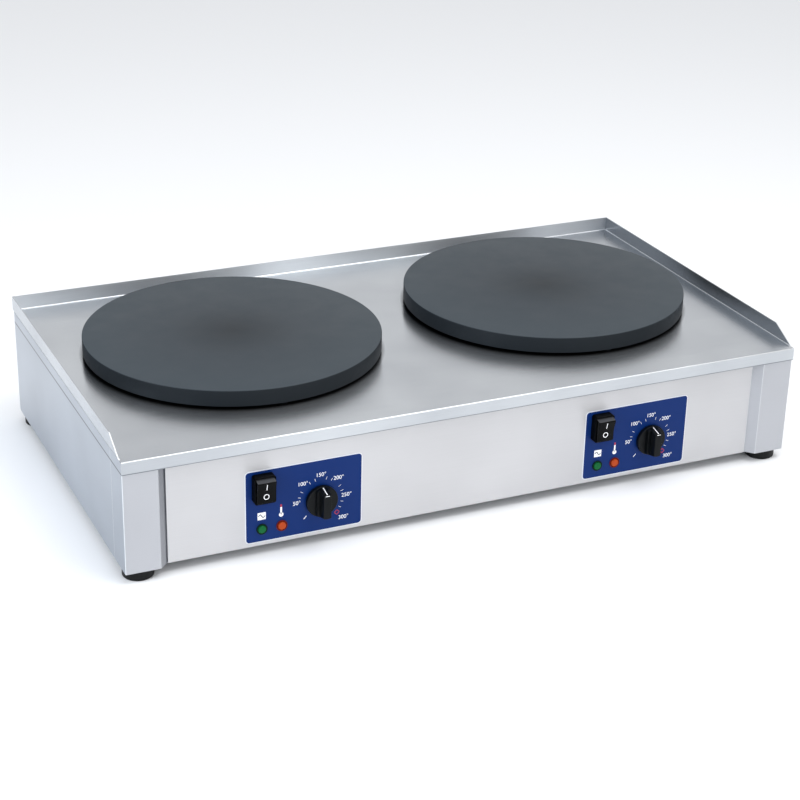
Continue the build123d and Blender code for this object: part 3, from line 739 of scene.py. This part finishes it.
def make_switch(side):
    """A rocker that stands proud of its collar: a face dished along its middle, and ends that
    lean inwards by the tilt, so that the end pressed in lies upright along the collar's wall."""
    half_x = collar_width / 2 - collar_wall - rocker_gap
    half_z = (collar_height / 2 - collar_wall - rocker_gap) / cos(rocker_tilt)
    middle = rocker_middle - rocker_pivot
    reach = middle + rocker_dish
    size = (2 * half_x, reach + rocker_behind, 2 * half_z)
    rocker = block(size, (0, (rocker_behind - reach) / 2, 0))
    settle(rocker)
    edit(rocker, "FACE", lambda face: face.normal.y < -0.9)
    front_half = half_z - reach * tan(rocker_tilt)
    bpy.ops.transform.resize(value=(1, 1, front_half / half_z))
    leave_edit()
    edit(rocker, "FACE", lambda face: True)
    bpy.ops.mesh.bisect(plane_co=(0, 0, 0), plane_no=(0, 0, 1))
    leave_edit()
    edit(rocker, "VERT", lambda v: abs(v.co.z) < 0.1 * mm and v.co.y < 0)
    bpy.ops.transform.translate(value=(0, rocker_dish, 0))
    leave_edit()
    edit(rocker, "EDGE", lambda edge: is_level(edge)
         and all(v.co.y < -0.5 * reach and abs(v.co.z) > 5 * mm for v in edge.verts))
    bevel_chosen(rocker_end_round, 6)
    eased(rocker, rocker_edge_round, 3, 40)

    stroke = block(stroke_size, (0, 0, 0))
    bpy.ops.mesh.primitive_torus_add(
        major_radius=ring_radius, minor_radius=ring_weight, major_segments=48
    )
    ring = bpy.context.active_object
    ring.scale = (1, 1, ring_flatness)
    ring.rotation_euler = (radians(90), 0, 0)
    slope = atan(rocker_dish / front_half)
    for mark, level in ((stroke, stroke_level), (ring, ring_level)):
        settle(mark)
        mark.rotation_euler = (slope if level > 0 else -slope, 0, 0)
        mark.location = (0, -middle - abs(level) * tan(slope), level)
        settle(mark)
    legend = joined(stroke, ring)
    for piece, name, material, slot in (
        (rocker, "rocker_dressed", rocker_gloss, "rocker_plastic"),
        (legend, "rocker_legend", ink_white, "white_plastic"),
    ):
        piece.rotation_euler = (rocker_tilt, 0, 0)
        piece.location = Vector(joints[f"rocker_{side}"]["pos_m"])
        placed(piece, f"{name}_{side}", material, f"switch_{side}", smooth=40)
    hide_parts(f"switch_rocker_{side}")


# ---- Pilot lamps ------------------------------------------------------------------------------
lamp_rim_depth, lamp_rim_width, lamp_sink = 1.6 * mm, 1.0 * mm, 0.9 * mm
dome_radius, dome_round = 5.2 * mm, 1.4 * mm
dome_base = 0.2 * mm  # in front of the flange's back


def make_lamp(side, colour):
    """A pilot lamp's cap: a flange with a raised rim, and a brighter dome with a rounded top."""
    # The flange takes the lens's painted-shade copy, and the dome its brighter painted-light copy.
    deep, bright = lamp_colours[colour]
    low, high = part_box(f"{colour}_lamp_lens_{side}")
    flange, proud = (high.x - low.x) / 2, high.y - low.y
    centre = Vector(((low.x + high.x) / 2, high.y, (low.z + high.z) / 2))
    lens_place = centre + Vector((0, -lamp_rim_depth / 2, 0))
    lens = cylinder(flange, lamp_rim_depth, lens_place, "Y", 64)
    edit(lens, "FACE", lambda face: face.calc_center_median().z > 0 and len(face.verts) > 4)
    recess_chosen(lamp_rim_width, lamp_sink)
    eased(lens, 0.3 * mm, 3)
    placed(lens, f"{colour}_lamp_flange_{side}", deep, "casing", smooth=50)
    dome_place = centre + Vector((0, -(proud + dome_base) / 2, 0))
    dome = cylinder(dome_radius, proud - dome_base, dome_place, "Y", 64)
    edit(dome, "EDGE", lambda edge: all(v.co.z > 0 for v in edge.verts))
    bevel_chosen(dome_round, 7)
    placed(dome, f"{colour}_lamp_dome_{side}", bright, "casing", smooth=50)
    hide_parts(f"{colour}_lamp_lens_{side}")


# ---- Printing on the overlays -----------------------------------------------------------------
ink_depth = 0.06 * mm
over_ink = -0.6 * ink_depth  # place of ink printed on top of other ink
digit_height, digit_share = 5.4 * mm, 0.72  # and a digit's share of the type's size
scale_marks = {  # places in millimetres from the knob's middle
    "50": (-32.4, 0.6), "100": (-24.2, 26.3), "150": (0.2, 34.8),
    "200": (24.2, 26.5), "250": (35.0, 0.6), "300": (31.0, -30.3),
}
tick_angles = (165, 150, 120, 105, 75, 60, 30, 15, -15, -30)
tick_inner, tick_outer, tick_weight = 27.9 * mm, 31.7 * mm, 0.45 * mm
off_angle, off_reach, off_size = 225, 30.0 * mm, (5.4 * mm, 0.9 * mm)
diamond_angle, diamond_reach = -45, 31.0 * mm
diamond_out, diamond_side = 2.4 * mm, (1.1 * mm, 5.9 * mm)  # its four sides
supply_place, supply_size = Vector((-56.8, -13.9)) * mm, (10.8 * mm, 9.9 * mm)
wave_length, wave_height, wave_weight = 8.4 * mm, 2.1 * mm, 1.1 * mm
wave_steps, wave_overlap = 14, 0.25 * mm
heat_place = Vector((-30.9, -12.0)) * mm
stem_size, stem_rise = (2.3 * mm, 10.0 * mm), 0.9 * mm
top_size, top_rise = (2.2 * mm, 3.6 * mm), 7.9 * mm
bulb_radius, bulb_drop, dot_radius = 3.0 * mm, 4.6 * mm, 0.5 * mm
film_margin, film_depth, film_corner = 1.0 * mm, 0.3 * mm, 4.5 * mm


def bar_mark(width, height, x, z, turn=0.0, y=0.0):
    """A thin printed bar in the overlay's plane, turned about its middle."""
    bar = block((width, ink_depth, height), (x, y, z))
    bar.rotation_euler = (0, -turn, 0)
    return bar


def around(knob, reach, degrees):
    """A place round the knob's middle, counted from the right and upwards."""
    return knob.x + reach * cos(radians(degrees)), knob.z + reach * sin(radians(degrees))


def printed_number(text, x, z):
    """A temperature with its degree sign, as a thin mesh."""
    clear_selection()
    bpy.ops.object.text_add(rotation=(radians(90), 0, 0))
    words = bpy.context.active_object
    words.data.body = text + "°"
    words.data.size = digit_height / digit_share
    words.data.align_x = "CENTER"
    words.data.align_y = "CENTER"
    words.data.extrude = ink_depth / 2
    bpy.ops.object.convert(target="MESH")
    words = bpy.context.active_object
    words.location = (x, 0, z)
    return words


def print_dial(knob):
    """The temperatures with their ticks, the off mark, and the diamond at full heat."""
    white, red = [], []
    for text, (x, z) in scale_marks.items():
        white.append(printed_number(text, knob.x + x * mm, knob.z + z * mm))
    for angle in tick_angles:
        x, z = around(knob, (tick_inner + tick_outer) / 2, angle)
        white.append(bar_mark(tick_outer - tick_inner, tick_weight, x, z, radians(angle)))
    x, z = around(knob, off_reach, off_angle)
    white.append(bar_mark(*off_size, x, z, radians(off_angle)))
    x, z = around(knob, diamond_reach, diamond_angle)
    for turn in map(radians, (45, 135, 225, 315)):
        side_x, side_z = x + diamond_out * cos(turn), z + diamond_out * sin(turn)
        red.append(bar_mark(*diamond_side, side_x, side_z, turn))
    return white, red, []


def print_supply():
    """A white field with the wave of the mains supply, over the green lamp."""
    white, grey = [bar_mark(*supply_size, *supply_place)], []
    for index in range(wave_steps):
        x = (index + 0.5 - wave_steps / 2) * wave_length / wave_steps
        phase = -2 * pi * x / wave_length
        slope = atan(-2 * pi * wave_height / wave_length * cos(phase))
        length = wave_length / wave_steps / cos(slope) + wave_overlap
        z = supply_place.y + wave_height * sin(phase)
        grey.append(bar_mark(length, wave_weight, supply_place.x + x, z, slope, over_ink))
    return white, [], grey


def print_heat():
    """A thermometer with a red top and a red dot in its bulb, over the orange lamp."""
    x, z = heat_place
    white = [
        bar_mark(*stem_size, x, z + stem_rise),
        cylinder(bulb_radius, ink_depth, (x, 0, z - bulb_drop), "Y", 32),
    ]
    red = [
        bar_mark(*top_size, x, z + top_rise),
        cylinder(dot_radius, ink_depth, (x, over_ink, z - bulb_drop), "Y", 16),
    ]
    return white, red, []


def make_print(side):
    """Everything printed on one overlay, in one piece for each ink."""
    low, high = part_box(f"control_overlay_{side}")
    centre = Vector(((low.x + high.x) / 2, low.y - ink_depth / 2, (low.z + high.z) / 2))
    knob = Vector(joints[f"dial_turn_{side}"]["pos_m"]) - centre
    groups = print_dial(knob), print_supply(), print_heat()  # each white, red and grey
    inks = ("white", ink_white), ("red", ink_red), ("grey", ink_grey)
    for (name, material), *parts in zip(inks, *groups):
        pieces = [piece for part in parts for piece in part]
        for piece in pieces:
            piece.location += centre
            settle(piece)
        whole = joined(*pieces)
        placed(whole, f"overlay_print_{name}_{side}", material, "casing", smooth=0)


def make_clear_edge(side):
    """The overlay's clear film where it reaches past the print: a thin flat frame."""
    low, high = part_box(f"control_overlay_{side}")
    size = (high.x - low.x + 2 * film_margin, film_depth, high.z - low.z + 2 * film_margin)
    rim = block(size, ((low.x + high.x) / 2, high.y - film_depth / 2, (low.z + high.z) / 2))
    edit(rim, "EDGE", lambda edge: abs(edge.verts[0].co.y - edge.verts[1].co.y) > film_depth / 2)
    bevel_chosen(film_corner + film_margin, 8)
    edit(rim, "FACE", lambda face: abs(face.normal.y) > 0.9)
    bpy.ops.mesh.inset(thickness=film_margin)
    bpy.ops.mesh.bridge_edge_loops()
    leave_edit()
    placed(rim, f"overlay_clear_edge_{side}", clear_edge, "casing", smooth=0)


# ---- Screws -----------------------------------------------------------------------------------
def screw_head(radius, height):
    """A pan head with a cross recess, facing down, about the origin."""
    head = cylinder(radius, height, (0, 0, 0), vertices=48)
    eased(head, 0.38 * height, 3)
    for turn in (0, 90):
        slit = block((0.19 * radius, 1.12 * radius, 0.62 * height), (0, 0, -0.5 * height))
        slit.rotation_euler = (0, 0, radians(turn))
        modified(head, "BOOLEAN", object=slit, operation="DIFFERENCE", solver="EXACT")
        bpy.data.objects.remove(slit)
    return head


back_head_radius, back_head_height, back_head_sunk = 3.6 * mm, 2.0 * mm, 0.05 * mm
back_screw_inset = Vector((22.0, 9.0)) * mm  # from the panel's ends and its two edges


def make_back_screws():
    """Eight heads in two rows that hold the back panel."""
    low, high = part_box("back_panel")
    first = screw_head(back_head_radius, back_head_height)
    first.rotation_euler = (radians(90), 0, 0)
    settle(first)
    heads = []
    inset = back_screw_inset
    for x in (low.x + inset.x, low.x / 3, high.x / 3, high.x - inset.x):
        for z in (low.z + inset.y, rim_level - inset.y):
            head = bpy.data.objects.new("back_screw", first.data.copy())
            bpy.context.scene.collection.objects.link(head)
            head.location = (x, high.y + back_head_height / 2 - back_head_sunk, z)
            settle(head)
            heads.append(head)
    bpy.data.objects.remove(first)
    placed(joined(*heads), "back_panel_screws", zinc_steel, "casing", smooth=40)


# ---- Feet -------------------------------------------------------------------------------------
foot_round = 2.5 * mm
foot_recess_radius, foot_recess_depth = 9.0 * mm, 5.0 * mm
foot_head_radius, foot_head_height, foot_head_rise = 5.8 * mm, 3.2 * mm, 3.4 * mm


def make_foot(corner):
    """A round rubber foot with a rounded lower edge, and its screw in a recess below."""
    low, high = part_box(f"foot_{corner}")
    middle = (low + high) / 2
    radius, height = (high.x - low.x) / 2, high.z - low.z
    foot = cylinder(radius, height, middle, vertices=96)
    edit(foot, "EDGE", lambda edge: all(v.co.z < 0 for v in edge.verts))
    bevel_chosen(foot_round, 6)
    edit(foot, "FACE", lambda face: face.normal.z < -0.9999)
    recess_chosen(radius - foot_round - foot_recess_radius, foot_recess_depth)
    placed(foot, f"foot_dressed_{corner}", foot_rubber, "casing", smooth=40)
    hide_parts(f"foot_{corner}")
    head = screw_head(foot_head_radius, foot_head_height)
    head.location = (middle.x, middle.y, low.z + foot_head_rise)
    placed(head, f"foot_screw_{corner}", zinc_steel, "casing", smooth=40)


for side in sides:
    make_hot_plate(side)
    make_knob(side)
    make_switch(side)
    make_lamp(side, "green")
    make_lamp(side, "orange")
    make_print(side)
    make_clear_edge(side)
for corner in ("front_left", "front_right", "back_left", "back_right"):
    make_foot(corner)
make_back_screws()


# ---- Floor, light and camera ------------------------------------------------------------------
flag_direction = (-0.38, 0.83, 0.41)  # behind on the left, and above
sky_strength = 0.93
softboxes = {  # place, size, power and tint
    "overhead": ((0.6, -0.65, 2.3), (1.8, 1.3), 26, "#FFFFFF"),
    "front": ((0.4, -2.7, 1.2), (2.8, 1.3), 12, "#FFFFFF"),
    "side": ((-2.1, -0.5, 1.0), (1.6, 1.3), 31, "#EEF3FA"),
}


def add_stage():
    """A wide matt floor."""
    clear_selection()
    bpy.ops.mesh.primitive_plane_add(size=14.0, location=(0, 0, 0))
    floor = bpy.context.active_object
    floor.name = "floor"
    material = surface("matt_white_floor", "#F4F5F6", 0.9, Specular_IOR_Level=0.1)[0]
    floor.data.materials.append(material)


def add_softbox(name, place, size, power, tint):
    """A soft rectangular lamp that faces the machine."""
    lamp = bpy.data.lights.new(name, "AREA")
    lamp.shape = "RECTANGLE"
    lamp.size, lamp.size_y = size
    lamp.energy = power
    lamp.color = linear(tint)[:3]
    light = bpy.data.objects.new(name, lamp)
    light.location = place
    light.rotation_euler = (aim - Vector(place)).to_track_quat("-Z", "Y").to_euler()
    bpy.context.scene.collection.objects.link(light)


def add_world():
    """Pale studio walls, cooler on the left, with a dark flag behind on the left."""
    world = bpy.data.worlds.new("studio")
    world.use_nodes = True
    tree = world.node_tree
    facing = node(tree, "ShaderNodeTexCoord")
    apart = node(tree, "ShaderNodeSeparateXYZ", [("Vector", facing, "Generated")])
    across = node(tree, "ShaderNodeMapRange", [("Value", apart, "X")], From_Min=-1.0)
    walls = node(tree, "ShaderNodeValToRGB", [("Fac", across, "Result")])
    ramp_colours(walls, (0.1, "#D2D6DC"), (0.6, "#FAFAFB"))
    toward = node(
        tree, "ShaderNodeVectorMath", [(0, facing, "Generated"), (1, flag_direction)],
        operation="DOT_PRODUCT",
    )
    shade = node(tree, "ShaderNodeValToRGB", [("Fac", toward, "Value")])
    ramp_colours(shade, (0.84, "#FFFFFF"), (0.95, "#BCC0C4"))
    lit = node(
        tree, "ShaderNodeMixRGB", [("Color1", walls, "Color"), ("Color2", shade, "Color")],
        blend_type="MULTIPLY", Fac=1.0,
    )
    sky = tree.nodes["Background"]
    sky.inputs["Strength"].default_value = sky_strength
    feed(tree, sky, Color=(lit, "Color"))
    bpy.context.scene.world = world


add_stage()
add_world()
for name, settings in softboxes.items():
    add_softbox(name, *settings)
add_camera()
bpy.context.scene.view_settings.view_transform = "Standard"
